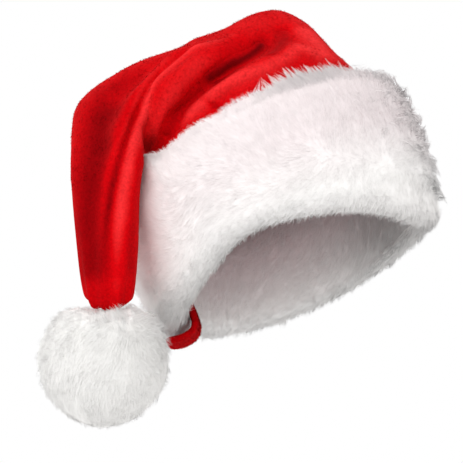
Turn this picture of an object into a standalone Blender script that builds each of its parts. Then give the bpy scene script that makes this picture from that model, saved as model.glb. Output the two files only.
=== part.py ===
"""A plush Santa hat, worn tilted back, with its tip folded over the cuff and hanging at one side.

The hat is modelled upright, with the rim in the XY plane, the forehead towards -Y and the opening's
centre at the origin. An empty then tilts it back as it is worn, so that +Z is up for the wearer.
Every length is in metres.
"""

import math

import bmesh
import bpy
import numpy as np

# The opening, measured inside the cuff's backing, and how the hat is worn
OPENING_LENGTH = 0.190
OPENING_WIDTH = 0.166
TILT = math.radians(26.5)
FALL_TURN = math.radians(25.7)

# Cloth and pile
BACKING_THICKNESS = 0.002
PLUSH_THICKNESS = 0.0025
OUTER_PILE = 0.014
INNER_PILE = 0.005
RIM_PILE = 0.004
TOP_PILE = 0.006
FIT_GAP = 0.0005
PILE_GAP = 0.0009

# Cuff
CUFF_HEIGHT = 0.092
HEM_DEPTH = 0.040
CUFF_LEAN = 0.004

# The rim waves: it lifts over the ear and hangs lower over the forehead. turn and width are in degrees
# round the opening, and rise is a share of CUFF_HEIGHT.
RIM_WAVE_COLUMNS = ("turn", "width", "rise")
RIM_WAVES = (
    (78, 28, 0.045),
    (188, 26, 0.125),
    (270, 30, -0.200),
)

# Crown: how far it rises over the cuff and reaches along the fall, and the tip that hangs from it
CROWN_RISE = 0.095
CROWN_REACH = 0.100
TAIL_LENGTH = 0.086
TAIL_HALF_WIDTH = 0.024
TAIL_HALF_DEPTH = 0.018
GATHER_COUNT = 9
GATHER_DEPTH = 0.0012
GATHER_REACH = 3

# Rings of the crown: points on the side with the folds and on the far side, rings from each section
# to the next, and the turn from the crown's outline to the crease. FAR_SLOPE is how much of its slope
# the far side of a section keeps, and NORMAL_PASSES how often the inner face's normals are averaged.
NEAR_SIDES = 26
FAR_SIDES = 24
HEM_STEPS = (1, 1, 1)
CROWN_STEPS = (2, 3, 3, 3, 2, 2, 2, 2, 2, 2, 2, 2, 2)
PIVOT_TURN = math.radians(127)
FAR_SLOPE = 0.15
NORMAL_PASSES = 6

# Locks of the cuff's pile: each stands out or back by up to LOCK_RELIEF and ends up to LOCK_TIP from
# its edge line. TOP_DEPTH is the pile's depth at its top edge, as a share of OUTER_PILE.
PILE_SIDES = 80
LOCK_RELIEF = 0.0012
LOCK_TIP = 0.0025
LOCK_SHARES = (0.4, 1.0)
INNER_LOCK_SHARES = (0.14, 0.5)
RIM_LOCK_SHARES = (0.0, 0.6)
TOP_DEPTH = 0.2

# The pile's depth down the outside of the cuff: height is a share of the cuff's height and depth a
# share of OUTER_PILE.
PILE_COLUMNS = ("height", "depth")
PILE_SECTIONS = (
    (1.00, 0.66),
    (0.80, 0.93),
    (0.55, 1.00),
    (0.28, 0.90),
    (0.06, 0.62),
)

# Where the outer pile stands out more or less: upper and lower are added to its depth at the cuff's top
# and at its rim, as shares of OUTER_PILE.
BULGE_COLUMNS = ("turn", "width", "upper", "lower")
PILE_BULGES = (
    (130, 35, 0.00, 0.45),
    (300, 40, 0.60, -0.30),
)

# The pile round the rim: across is a share of the folded cuff's thickness, to which beyond is added,
# and beyond and drop are shares of RIM_PILE.
RIM_COLUMNS = ("across", "beyond", "drop", "lock")
RIM_SECTIONS = (
    (1.0, 1.0, 0.6, 1.0),
    (0.5, 0.0, 1.0, 1.0),
    (0.0, -0.875, 0.5, 0.0),
)
INNER_PILE_HEIGHTS = (0.06, 0.5, 0.95)

# Pompom, which hangs a little outside the line of the tip
POMPOM_RADIUS = 0.044
POMPOM_SINK = 0.006
POMPOM_SHIFT = 0.004
POMPOM_RINGS = 18
POMPOM_SIDES = 34
POMPOM_LOCK = 0.0022

# The fold of red plush that shows under the rim at the back seam. In the table, outwards is from the
# pile's inner face and upwards from its lowest edge, as shares of PLUSH_FOLD_REACH, and width is a
# share of PLUSH_FOLD_WIDTH.
PLUSH_FOLD_TURN = math.radians(113)
PLUSH_FOLD_REACH = 0.010
PLUSH_FOLD_WIDTH = 0.022
PLUSH_FOLD_POINTS = 5
PLUSH_FOLD_COLUMNS = ("outwards", "upwards", "width")
PLUSH_FOLD_SECTIONS = (
    (0.02, 1.90, 0.30),
    (0.00, 1.20, 0.52),
    (0.00, 0.50, 0.75),
    (0.06, -0.12, 0.92),
    (0.38, -0.55, 1.00),
    (0.95, -0.72, 1.00),
    (1.65, -0.68, 0.95),
    (2.35, -0.42, 0.80),
)

RED = (0.55, 0.004, 0.008, 1.0)
WHITE = (0.86, 0.85, 0.84, 1.0)
BACKING_WHITE = (0.78, 0.77, 0.75, 1.0)
PLUSH_ROUGHNESS = 0.85
FUR_ROUGHNESS = 0.95
BACKING_ROUGHNESS = 0.9

# Rings of the crown just over the cuff, drawn in towards the crease. scale is of the hem's oval, lift
# is a share of CROWN_RISE at the crease and rise a share that is added opposite it.
COLLAR_COLUMNS = ("scale", "lift", "rise")
COLLAR_SECTIONS = (
    (0.970, 0.030, 0.22),
    (0.935, 0.055, 0.47),
)

# Sections of the crown from the collar to the start of the hanging tip. Each is an oval between an
# outer point, on the crown's outline, and an inner point, in the crease where the crown folds over
# the cuff. out and side are shares of CROWN_REACH along the fall and across it, rise is a share of
# CROWN_RISE above the cuff, and near and far are the half depths to each side as shares of CROWN_REACH.
CROWN_COLUMNS = (
    "outer_out", "outer_side", "outer_rise", "inner_out", "inner_side", "inner_rise", "near", "far",
)
CROWN_SECTIONS = (
    (-0.75, -0.02, 0.71, 0.580, 0.720, 0.080, 0.48, 1.10),
    (-0.60, 0.03, 0.85, 0.595, 0.733, 0.095, 0.43, 0.98),
    (-0.32, 0.06, 0.83, 0.610, 0.746, 0.105, 0.38, 0.82),
    (0.06, 0.14, 0.80, 0.625, 0.760, 0.110, 0.33, 0.65),
    (0.44, 0.27, 0.82, 0.642, 0.774, 0.105, 0.28, 0.48),
    (0.81, 0.38, 0.78, 0.665, 0.790, 0.085, 0.23, 0.34),
    (1.04, 0.50, 0.64, 0.700, 0.810, 0.030, 0.20, 0.26),
    (1.14, 0.64, 0.33, 0.745, 0.835, -0.065, 0.18, 0.20),
)

# Sections of the hanging tip, down its length: along is a share of TAIL_LENGTH, the half sizes are
# shares of TAIL_HALF_WIDTH and TAIL_HALF_DEPTH, and shift leans the tip across its fall, as a share
# of TAIL_LENGTH.
TAIL_START = (1.015, 0.80, -0.09)
TAIL_COLUMNS = ("along", "half_width", "half_depth", "shift")
TAIL_SECTIONS = (
    (0.00, 1.00, 1.00, 0.00),
    (0.45, 0.92, 0.96, 0.02),
    (0.80, 0.80, 0.88, 0.03),
    (1.00, 0.66, 0.74, 0.04),
)

# Creases and ridges of the crown. Each runs through places given as a section number, counted from
# the hem, and an angle in degrees round the section. Its width and its depth, which is below 0 for a
# crease, are shares of CROWN_REACH.
FOLD_COLUMNS = ("name", "width", "depth", "places")
FOLDS = (
    ("groove", 0.075, -0.15, ((4.95, 78), (4.85, 104), (4.85, 123), (4.7, 145), (4.6, 168))),
    ("hollow", 0.12, -0.08, ((5.0, 60), (4.8, 72), (4.75, 86))),
    ("base ridge", 0.07, 0.04, ((5.2, 42), (4.3, 86), (4.35, 111), (4.35, 140), (4.3, 158))),
    ("roll", 0.12, 0.08, ((5.3, 84), (5.7, 113), (6.3, 138), (9.6, 158), (11.7, 156), (12.9, 140))),
    ("tip roll", 0.09, 0.045, ((12.0, 153), (12.9, 140), (13.3, 131), (14.0, 129), (16.0, 125))),
    ("valley", 0.055, -0.06, ((6.1, 102), (6.7, 122), (8.6, 136), (10.4, 144), (12.9, 125))),
    ("tip valley", 0.05, -0.05, ((11.9, 140), (12.9, 125), (13.3, 113), (14.2, 104), (15.6, 100))),
    ("thin ridge", 0.055, 0.055, ((6.4, 96), (7.6, 112), (8.5, 117), (10.9, 132), (12.4, 120))),
    ("tip ridge", 0.05, 0.045, ((10.9, 132), (12.4, 120), (13.0, 103), (13.8, 94), (15.2, 90))),
    ("side valley", 0.12, -0.04, ((8.0, 84), (10.0, 100), (12.4, 90), (14.0, 66), (15.6, 64))),
)
# Each fold rises from FOLD_END of its depth over the first and last FOLD_TAPER of its length. Where
# the crown's sections lie closer than FOLD_SPACING, in the crease, the folds die away.
FOLD_STEPS = 6
FOLD_TAPER = 0.15
FOLD_END = 0.2
FOLD_SPACING = 0.013


def fall_axes():
    """Unit vectors along the fall of the tip, across it towards the wearer's side, and up the hat."""
    turn = math.pi / 2 + FALL_TURN
    along = np.array((math.cos(turn), math.sin(turn), 0.0))
    across = np.array((-math.sin(turn), math.cos(turn), 0.0))
    return along, across, np.array((0.0, 0.0, 1.0))


def fall_point(out, side, up):
    """A point from its distances along the fall, across it and up from the rim."""
    along, across, upward = fall_axes()
    return along * out + across * side + upward * up


def hang_direction():
    """Straight down for the wearer, in the untilted hat."""
    return np.array((0.0, math.sin(TILT), -math.cos(TILT)))


def level_direction():
    """Level for the wearer, along the fall of the tip."""
    along, _, _ = fall_axes()
    down = hang_direction()
    return unit(along - down * (along @ down))


def opening_point(turn, offset, height):
    """A point round the opening's oval, moved outwards along its normal by offset."""
    half_width, half_length = OPENING_WIDTH / 2, OPENING_LENGTH / 2
    normal = np.array((half_length * math.cos(turn), half_width * math.sin(turn)))
    normal /= np.linalg.norm(normal)
    return np.array(
        (
            half_width * math.cos(turn) + offset * normal[0],
            half_length * math.sin(turn) + offset * normal[1],
            height,
        )
    )


def cuff_top(turn):
    """The cuff's height, a little more over the forehead than at the back."""
    return CUFF_HEIGHT - CUFF_LEAN * math.sin(turn)


def wave_share(turn, row):
    """How much of a wave round the opening a turn has."""
    away = (math.degrees(turn) - row["turn"] + 180) % 360 - 180
    return math.exp(-((away / row["width"]) ** 2))


def rim_height(turn):
    """How far the cuff's rim lies over the opening's plane."""
    rows = [dict(zip(RIM_WAVE_COLUMNS, values, strict=True)) for values in RIM_WAVES]
    return CUFF_HEIGHT * sum(row["rise"] * wave_share(turn, row) for row in rows)


def pile_bulge(turn, height):
    """What is added to the outer pile's depth at a share of the cuff's height."""
    rows = [dict(zip(BULGE_COLUMNS, values, strict=True)) for values in PILE_BULGES]
    return sum((row["lower"] + (row["upper"] - row["lower"]) * height) * wave_share(turn, row) for row in rows)


def section_turn(angle):
    """The turn round the opening that an angle round a crown section starts from."""
    if angle <= math.pi:
        across = angle / math.pi * PIVOT_TURN
    else:
        across = PIVOT_TURN + (angle / math.pi - 1) * (2 * math.pi - PIVOT_TURN)
    return FALL_TURN - math.pi / 2 - across


def crown_offset():
    """How far the crown's outer face lies outside the opening's oval, where it runs in the cuff."""
    return BACKING_THICKNESS + FIT_GAP + PLUSH_THICKNESS


def cuff_thickness():
    """The folded cuff's thickness, with the crown's hem between its layers."""
    return crown_offset() + FIT_GAP + BACKING_THICKNESS


def unit(vectors):
    return vectors / np.linalg.norm(vectors, axis=-1, keepdims=True)


def smooth_between(rows, steps):
    """Catmull-Rom curves through rows of points, with steps pieces between each pair."""
    rows = np.asarray(rows)
    padded = np.concatenate([2 * rows[:1] - rows[1:2], rows, 2 * rows[-1:] - rows[-2:-1]])
    found = []
    for index, count in enumerate(steps):
        before, start, end, after = padded[index : index + 4]
        for step in range(count):
            t = step / count
            found.append(
                0.5
                * (
                    2 * start
                    + (end - before) * t
                    + (2 * before - 5 * start + 4 * end - after) * t**2
                    + (3 * start - before - 3 * end + after) * t**3
                )
            )
    found.append(rows[-1])
    return np.array(found)


def oval_section(centre, outer_arm, near_arm, far_arm, angles):
    """A closed section round centre, with its own half depth on each side."""
    points = []
    for angle in angles:
        across = near_arm if math.sin(angle) > 0 else far_arm
        points.append(centre + outer_arm * math.cos(angle) + across * abs(math.sin(angle)))
    return points


def section_angles():
    """Angles round a section, closer together on the side where the folds lie."""
    near = np.arange(NEAR_SIDES) / NEAR_SIDES * math.pi
    far = math.pi + np.arange(FAR_SIDES) / FAR_SIDES * math.pi
    return np.concatenate([near, far])


def crown_rows():
    """The crown's named sections, from its hem in the cuff to the gathered tip."""
    angles = section_angles()
    turns = [section_turn(angle) for angle in angles]
    offset = crown_offset()
    above = CUFF_HEIGHT + TOP_PILE
    rows = [
        [opening_point(turn, offset, cuff_top(turn) + lift) for turn in turns]
        for lift in (-HEM_DEPTH, 0, TOP_PILE)
    ]
    pivot = section_turn(math.pi)
    crease = opening_point(pivot, offset, 0)
    for values in COLLAR_SECTIONS:
        row = dict(zip(COLLAR_COLUMNS, values, strict=True))
        ring = []
        for turn in turns:
            flat = crease + (opening_point(turn, offset, 0) - crease) * row["scale"]
            rise = row["lift"] + row["rise"] * (1 - math.cos(turn - pivot)) / 2
            ring.append(flat + np.array((0, 0, cuff_top(turn) + TOP_PILE + rise * CROWN_RISE)))
        rows.append(ring)

    centres, arms = [], []
    for values in CROWN_SECTIONS:
        row = dict(zip(CROWN_COLUMNS, values, strict=True))
        outer = fall_point(
            row["outer_out"] * CROWN_REACH,
            row["outer_side"] * CROWN_REACH,
            above + row["outer_rise"] * CROWN_RISE,
        )
        inner = fall_point(
            row["inner_out"] * CROWN_REACH,
            row["inner_side"] * CROWN_REACH,
            above + row["inner_rise"] * CROWN_RISE,
        )
        centres.append((outer + inner) / 2)
        arms.append(((outer - inner) / 2, row["near"] * CROWN_REACH, row["far"] * CROWN_REACH))

    down, level = hang_direction(), level_direction()
    start = fall_point(
        TAIL_START[0] * CROWN_REACH,
        TAIL_START[1] * CROWN_REACH,
        above + TAIL_START[2] * CROWN_RISE,
    )
    for values in TAIL_SECTIONS:
        row = dict(zip(TAIL_COLUMNS, values, strict=True))
        centres.append(start + down * row["along"] * TAIL_LENGTH - level * row["shift"] * TAIL_LENGTH)
        depth = row["half_depth"] * TAIL_HALF_DEPTH
        arms.append((level * row["half_width"] * TAIL_HALF_WIDTH, depth, depth))

    _, across, _ = fall_axes()
    centres = np.array(centres)
    tangents = unit(np.gradient(centres, axis=0))
    for centre, tangent, (outer_arm, near, far) in zip(centres, tangents, arms, strict=True):
        side = unit(np.cross(outer_arm, tangent))
        if side @ across < 0:
            side = -side
        level_side = unit(side * np.array((1, 1, FAR_SLOPE)))
        rows.append(oval_section(centre, outer_arm, side * near, -level_side * far, angles))
    return np.array(rows)


def grid_normals(grid):
    """Outward unit normals of a grid of rings."""
    along = np.gradient(grid, axis=0)
    around = np.roll(grid, -1, axis=1) - np.roll(grid, 1, axis=1)
    return unit(np.cross(along, around))


def eased(normals):
    """Normals averaged with their neighbours, so that an inner face doesn't cross itself in a fold."""
    for _ in range(NORMAL_PASSES):
        beside = np.roll(normals, 1, axis=1) + np.roll(normals, -1, axis=1)
        padded = np.concatenate([normals[:1], normals, normals[-1:]])
        normals = unit(2 * normals + beside + padded[:-2] + padded[2:])
    return normals


def place_on(grid, stations, station, angle):
    """The grid's point at a section number and an angle round it."""
    row = np.interp(station, stations, np.arange(len(stations)))
    turn = (angle % 360) / 180
    column = turn * NEAR_SIDES if turn <= 1 else NEAR_SIDES + (turn - 1) * FAR_SIDES
    low, left = min(int(row), len(grid) - 2), int(column)
    down, right = row - low, column - left
    left, beyond = left % grid.shape[1], (left + 1) % grid.shape[1]
    upper = grid[low, left] * (1 - right) + grid[low, beyond] * right
    lower = grid[low + 1, left] * (1 - right) + grid[low + 1, beyond] * right
    return upper * (1 - down) + lower * down


def fold_relief(grid, stations):
    """How far each point of the grid moves out along its normal for the creases and ridges."""
    relief = np.zeros(grid.shape[:2])
    for values in FOLDS:
        row = dict(zip(FOLD_COLUMNS, values, strict=True))
        line = smooth_between(row["places"], [FOLD_STEPS] * (len(row["places"]) - 1))
        points = np.array([place_on(grid, stations, *place) for place in line])
        distance = np.linalg.norm(grid[:, :, None, :] - points, axis=-1)
        share = np.linspace(0, 1, len(line))
        strength = (np.minimum(share, 1 - share) / FOLD_TAPER).clip(FOLD_END, 1)
        reach = np.exp(-((distance / (row["width"] * CROWN_REACH)) ** 2)) * strength
        relief += row["depth"] * CROWN_REACH * reach.max(axis=2)
    spacing = np.linalg.norm(np.gradient(grid, stations, axis=0), axis=-1)
    return relief * (spacing / FOLD_SPACING).clip(0, 1) ** 2


def crown_grid():
    """The crown's outer face as rings of points, hem first."""
    rows = crown_rows()
    steps = [*HEM_STEPS, *CROWN_STEPS]
    stations = np.concatenate([[0], np.repeat(1 / np.array(steps), steps).cumsum()])
    grid = smooth_between(rows, steps)
    normals = grid_normals(grid)
    relief = fold_relief(grid, stations)
    tip_share = ((stations - stations[-1]) / GATHER_REACH + 1).clip(0, 1)
    gathers = np.cos(GATHER_COUNT * section_angles())[None, :] * tip_share[:, None] * GATHER_DEPTH
    return grid + normals * (relief + gathers)[:, :, None]


def ring_faces(rings, sides, first=0):
    """Quads between rings of sides points, numbered ring by ring."""
    faces = []
    for ring in range(rings - 1):
        for k in range(sides):
            a, b = first + ring * sides + k, first + ring * sides + (k + 1) % sides
            faces.append((a, b, b + sides, a + sides))
    return faces


def material(name, colour, roughness):
    made = bpy.data.materials.new(name)
    made.use_nodes = True
    shader = made.node_tree.nodes["Principled BSDF"]
    shader.inputs["Base Color"].default_value = colour
    shader.inputs["Roughness"].default_value = roughness
    return made


def add_object(name, points, faces, surface, parent):
    """A named mesh object on the tilted hat, with its faces pointing out."""
    mesh = bpy.data.meshes.new(name)
    mesh.from_pydata([tuple(p) for p in points], [], faces)
    editable = bmesh.new()
    editable.from_mesh(mesh)
    bmesh.ops.recalc_face_normals(editable, faces=editable.faces)
    editable.to_mesh(mesh)
    editable.free()
    mesh.shade_smooth()
    made = bpy.data.objects.new(name, mesh)
    bpy.context.scene.collection.objects.link(made)
    made.data.materials.append(surface)
    made.parent = parent


def build_crown(parent, surface):
    """The red plush cone, hollow from the hem to its gathered tip. It gives the tip's end point."""
    outside = crown_grid()
    inside = outside - eased(grid_normals(outside)) * PLUSH_THICKNESS
    inside[0, :, 2] = outside[0, :, 2]
    sides = outside.shape[1]
    end = unit(outside[-1].mean(axis=0) - outside[-2].mean(axis=0))
    tip = outside[-1].mean(axis=0) + end * PLUSH_THICKNESS
    points = [*outside.reshape(-1, 3), *inside.reshape(-1, 3), tip, tip - end * PLUSH_THICKNESS * 2]
    count = outside.shape[0] * sides
    faces = ring_faces(len(outside), sides) + ring_faces(len(outside), sides, count)
    last = count - sides
    for k in range(sides):
        beyond = (k + 1) % sides
        faces.append((k, beyond, count + beyond, count + k))
        faces.append((last + k, last + beyond, 2 * count))
        faces.append((count + last + k, count + last + beyond, 2 * count + 1))
    add_object("crown", points, faces, surface, parent)
    return tip


def swept_round(name, profile_at, turns, surface, parent):
    """A closed profile of (offset, height) pairs swept round the opening."""
    profiles = [profile_at(k, turn) for k, turn in enumerate(turns)]
    count, sides = len(profiles[0]), len(turns)
    points = []
    for turn, profile in zip(turns, profiles, strict=True):
        points += [opening_point(turn, offset, height) for offset, height in profile]
    faces = []
    for k in range(sides):
        here, there = k * count, (k + 1) % sides * count
        for index in range(count):
            beyond = (index + 1) % count
            faces.append((here + index, here + beyond, there + beyond, there + index))
    add_object(name, points, faces, surface, parent)


def cuff_profile(_, turn):
    """The cuff's backing cloth, folded double at the rim, with a slot for the crown's hem."""
    thickness = cuff_thickness()
    outer_layer = thickness - BACKING_THICKNESS
    radius = thickness / 2
    top, rim = cuff_top(turn), rim_height(turn)
    bend = rim + radius
    profile = [(thickness, top), (thickness, bend)]
    for angle in np.linspace(0, math.pi, 5)[1:-1]:
        profile.append((radius + radius * math.cos(angle), bend - radius * math.sin(angle)))
    profile += [(0, bend), (0, top), (BACKING_THICKNESS, top), (BACKING_THICKNESS, bend)]
    profile += [(radius, rim + BACKING_THICKNESS), (outer_layer, bend), (outer_layer, top)]
    return profile


def build_cuff(parent, surface):
    """The folded backing cloth of the cuff, which holds the crown's hem between its layers."""
    turns = [section_turn(angle) for angle in section_angles()]
    swept_round("cuff", cuff_profile, turns, surface, parent)


def pile_profile(k, turn):
    """The fur over the cuff: down its outside, round the rim and up its inside, in locks."""
    rng = np.random.default_rng(k)
    thickness = cuff_thickness()
    top, rim = cuff_top(turn), rim_height(turn)
    lean = LOCK_RELIEF if k % 2 else -LOCK_RELIEF
    tip = LOCK_TIP * rng.uniform(-1, 1)
    profile = [(thickness + PILE_GAP + OUTER_PILE * TOP_DEPTH, top + TOP_PILE + tip)]
    for index, values in enumerate(PILE_SECTIONS):
        row = dict(zip(PILE_COLUMNS, values, strict=True))
        lock = lean * (-1) ** (index // 2) * rng.uniform(*LOCK_SHARES)
        height = rim + (top - rim) * row["height"]
        depth = OUTER_PILE * (row["depth"] + pile_bulge(turn, row["height"]))
        profile.append((thickness + depth + lock, height))
    tip = LOCK_TIP * rng.uniform(*RIM_LOCK_SHARES)
    for values in RIM_SECTIONS:
        row = dict(zip(RIM_COLUMNS, values, strict=True))
        offset = thickness * row["across"] + RIM_PILE * row["beyond"]
        profile.append((offset, rim - RIM_PILE * row["drop"] - tip * row["lock"]))
    for share in INNER_PILE_HEIGHTS:
        lock = lean * rng.uniform(*INNER_LOCK_SHARES)
        profile.append((-INNER_PILE + lock, rim + (top - rim) * share))
    profile += [(-PILE_GAP, top), (-PILE_GAP, rim), (thickness / 2, rim - PILE_GAP)]
    profile += [(thickness + PILE_GAP, rim), (thickness + PILE_GAP, top)]
    return profile


def build_pile(parent, surface):
    """The deep fur on both faces of the cuff."""
    turns = [2 * math.pi * k / PILE_SIDES for k in range(PILE_SIDES)]
    swept_round("cuff_pile", pile_profile, turns, surface, parent)


def build_pompom(parent, surface, tip):
    """A ball of fur in locks, flattened where the crown's tip sinks into it."""
    rng = np.random.default_rng(POMPOM_SIDES)
    axis, side = hang_direction(), level_direction()
    other = np.cross(axis, side)
    seat = POMPOM_RADIUS - POMPOM_SINK
    centre = tip + axis * (seat + FIT_GAP) + side * POMPOM_SHIFT
    points = [centre - axis * seat]
    for ring in range(1, POMPOM_RINGS):
        down = math.pi * ring / POMPOM_RINGS
        for k in range(POMPOM_SIDES):
            turn = 2 * math.pi * (k + ring % 2 / 2) / POMPOM_SIDES
            level = side * math.cos(turn) + other * math.sin(turn)
            way = level * math.sin(down) - axis * math.cos(down)
            point = way * (POMPOM_RADIUS + POMPOM_LOCK * rng.uniform(-1, 1))
            over = -(point @ axis) - seat
            points.append(centre + point + axis * max(over, 0))
    points.append(centre + axis * POMPOM_RADIUS)
    faces = ring_faces(POMPOM_RINGS - 1, POMPOM_SIDES, 1)
    last = len(points) - 1
    for k in range(POMPOM_SIDES):
        beyond = (k + 1) % POMPOM_SIDES
        faces.append((0, 1 + beyond, 1 + k))
        faces.append((last, last - POMPOM_SIDES + k, last - POMPOM_SIDES + beyond))
    add_object("pompom", points, faces, surface, parent)


def build_plush_fold(parent, surface):
    """A narrow tongue of the crown's plush, turned out from under the rim."""
    rows = [dict(zip(PLUSH_FOLD_COLUMNS, values, strict=True)) for values in PLUSH_FOLD_SECTIONS]
    inner_face = -INNER_PILE - LOCK_RELIEF * INNER_LOCK_SHARES[1] - FIT_GAP
    lowest = rim_height(PLUSH_FOLD_TURN) - RIM_PILE - LOCK_TIP * RIM_LOCK_SHARES[1] - FIT_GAP
    line = np.array([(row["outwards"], row["upwards"]) for row in rows]) * PLUSH_FOLD_REACH
    line += (inner_face, lowest)
    along = unit(np.gradient(line, axis=0))
    inward = np.stack([along[:, 1], -along[:, 0]], axis=1)
    across = np.linspace(-1, 1, PLUSH_FOLD_POINTS)
    radius = OPENING_LENGTH / 2
    points = []
    for face in (0, PLUSH_THICKNESS):
        for row, place, normal in zip(rows, line, inward, strict=True):
            half = row["width"] * PLUSH_FOLD_WIDTH / 2 / radius
            for share in across:
                offset, height = place + normal * face
                points.append(opening_point(PLUSH_FOLD_TURN + share * half, offset, height))
    width, length = len(across), len(rows)
    count = width * length
    faces = []
    for i in range(length - 1):
        for j in range(width - 1):
            a = i * width + j
            quad = (a, a + 1, a + width + 1, a + width)
            faces.append(quad)
            faces.append(tuple(count + v for v in quad[::-1]))
    border = list(range(width))
    border += [i * width + width - 1 for i in range(1, length)]
    border += [(length - 1) * width + j for j in range(width - 2, -1, -1)]
    border += [i * width for i in range(length - 2, 0, -1)]
    for a, b in zip(border, border[1:] + border[:1], strict=True):
        faces.append((a, b, count + b, count + a))
    add_object("plush_fold", points, faces, surface, parent)


def main():
    for old in list(bpy.data.objects):
        bpy.data.objects.remove(old)
    worn = bpy.data.objects.new("worn_tilt", None)
    bpy.context.scene.collection.objects.link(worn)
    worn.rotation_euler = (-TILT, 0, 0)

    tip = build_crown(worn, material("crown_plush", RED, PLUSH_ROUGHNESS))
    build_cuff(worn, material("cuff_backing", BACKING_WHITE, BACKING_ROUGHNESS))
    build_pile(worn, material("cuff_fur", WHITE, FUR_ROUGHNESS))
    build_pompom(worn, material("pompom_fur", WHITE, FUR_ROUGHNESS), tip)
    build_plush_fold(worn, material("fold_plush", RED, PLUSH_ROUGHNESS))


if __name__ == "__main__":
    main()
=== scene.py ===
"""The santa hat's visual model: red plush with its short pile, and white fur in strands and locks."""

import math
from collections import namedtuple

import bmesh
import bpy
import numpy as np
from mathutils import Matrix, Vector, noise
from mathutils.bvhtree import BVHTree
from mathutils.kdtree import KDTree


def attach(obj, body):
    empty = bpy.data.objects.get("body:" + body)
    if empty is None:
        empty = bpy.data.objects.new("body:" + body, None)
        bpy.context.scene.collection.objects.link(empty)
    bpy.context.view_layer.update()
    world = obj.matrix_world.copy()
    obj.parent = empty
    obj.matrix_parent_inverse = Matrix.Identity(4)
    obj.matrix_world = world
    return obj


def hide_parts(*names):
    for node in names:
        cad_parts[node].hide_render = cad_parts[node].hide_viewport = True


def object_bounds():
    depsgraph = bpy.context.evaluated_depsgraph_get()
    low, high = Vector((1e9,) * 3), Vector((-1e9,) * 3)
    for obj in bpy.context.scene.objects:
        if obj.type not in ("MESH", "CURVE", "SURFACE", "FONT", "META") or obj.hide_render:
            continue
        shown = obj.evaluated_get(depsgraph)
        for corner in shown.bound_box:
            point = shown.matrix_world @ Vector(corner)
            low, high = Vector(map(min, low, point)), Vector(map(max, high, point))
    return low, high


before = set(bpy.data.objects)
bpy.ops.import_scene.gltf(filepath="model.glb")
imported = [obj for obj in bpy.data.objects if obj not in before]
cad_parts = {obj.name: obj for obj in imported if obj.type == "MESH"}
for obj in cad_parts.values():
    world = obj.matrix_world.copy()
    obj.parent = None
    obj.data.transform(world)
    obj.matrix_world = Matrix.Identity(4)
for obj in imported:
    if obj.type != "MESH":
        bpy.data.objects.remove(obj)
cad_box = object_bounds()

# The photograph's frame and viewing angle
FRAME_PIXELS = 463
METRES_PER_PIXEL = 0.00072
CAMERA_DISTANCE = 1.4
AZIMUTH = math.radians(-58.2)
ELEVATION = math.radians(-8.0)
ORIGIN_PIXEL = (301, 265)
SENSOR_WIDTH = 36

# The hat's frame: the opening's oval and the tilt, as in the solids
HALF_WIDTH = 0.083
HALF_LENGTH = 0.095
TILT = math.radians(26.5)
CUFF_HEIGHT = 0.092
CUFF_THICKNESS = 0.0075
# The rim waves as in the solids. turn and width are in degrees, and rise is a share of CUFF_HEIGHT.
RIM_WAVE_COLUMNS = ("turn", "width", "rise")
RIM_WAVES = (
    (78, 28, 0.045),
    (188, 26, 0.125),
    (270, 30, -0.200),
)

MM = 0.001

# Welding of the solids' points, in metres, and the widest angle at which two triangles make a quad
WELD_DISTANCE = 1e-6
QUAD_ANGLE = 1.2

# Rays start a little under or over a face, and a wall's other face lies within its reach, in metres.
UNDER_FACE = 0.0003
OFF_FACE = 0.0004
WALL_REACH = 0.006
OPEN_REACH = 0.5

# Strands: their sections, how fast each thins, its root's painted shade next to its tip, how round it looks
STRAND_PARTS = 2
TAPER = 0.7
ROOT_PAINTED_SHADE = 0.95
ROUNDNESS = 0.5


def unit(vectors):
    return vectors / np.maximum(np.linalg.norm(vectors, axis=-1, keepdims=True), 1e-12)


def tree_of(points):
    """Finds the nearest of some points."""
    tree = KDTree(len(points))
    for index, place in enumerate(points):
        tree.insert(place, index)
    tree.balance()
    return tree


def nearest(tree, places):
    """The number of the tree's point nearest to each place."""
    return np.array([tree.find(place)[1] for place in places])


def degrees_from(turn, middle):
    """How far each turn lies from a middle in degrees, from -180 to 180."""
    return (np.degrees(turn) - middle + 180) % 360 - 180


def welded_copy(node, name, levels):
    """A copy of a CAD node's mesh, welded, in quads where it can be, and subdivided."""
    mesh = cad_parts[node].data.copy()
    mesh.name = name
    editable = bmesh.new()
    editable.from_mesh(mesh)
    bmesh.ops.remove_doubles(editable, verts=editable.verts, dist=WELD_DISTANCE)
    bmesh.ops.join_triangles(
        editable, faces=editable.faces, angle_face_threshold=QUAD_ANGLE, angle_shape_threshold=QUAD_ANGLE
    )
    bmesh.ops.recalc_face_normals(editable, faces=editable.faces)
    editable.to_mesh(mesh)
    editable.free()
    made = bpy.data.objects.new(name, mesh)
    bpy.context.scene.collection.objects.link(made)
    smooth = made.modifiers.new("subdivide", "SUBSURF")
    smooth.levels = smooth.render_levels = levels
    graph = bpy.context.evaluated_depsgraph_get()
    finished = bpy.data.meshes.new_from_object(made.evaluated_get(graph))
    made.modifiers.clear()
    made.data = finished
    bpy.data.meshes.remove(mesh)
    finished.name = name
    made.data.materials.clear()
    made.data.shade_smooth()
    return made


def arrays(mesh):
    """Points, triangles and smooth point normals of a mesh."""
    mesh.calc_loop_triangles()
    points = np.empty(len(mesh.vertices) * 3)
    mesh.vertices.foreach_get("co", points)
    points = points.reshape(-1, 3)
    triangles = np.empty(len(mesh.loop_triangles) * 3, np.int32)
    mesh.loop_triangles.foreach_get("vertices", triangles)
    triangles = triangles.reshape(-1, 3)
    normals = np.zeros_like(points)
    a, b, c = (points[triangles[:, k]] for k in range(3))
    faces = np.cross(b - a, c - a)
    for k in range(3):
        np.add.at(normals, triangles[:, k], faces)
    return points, triangles, unit(normals)


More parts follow.
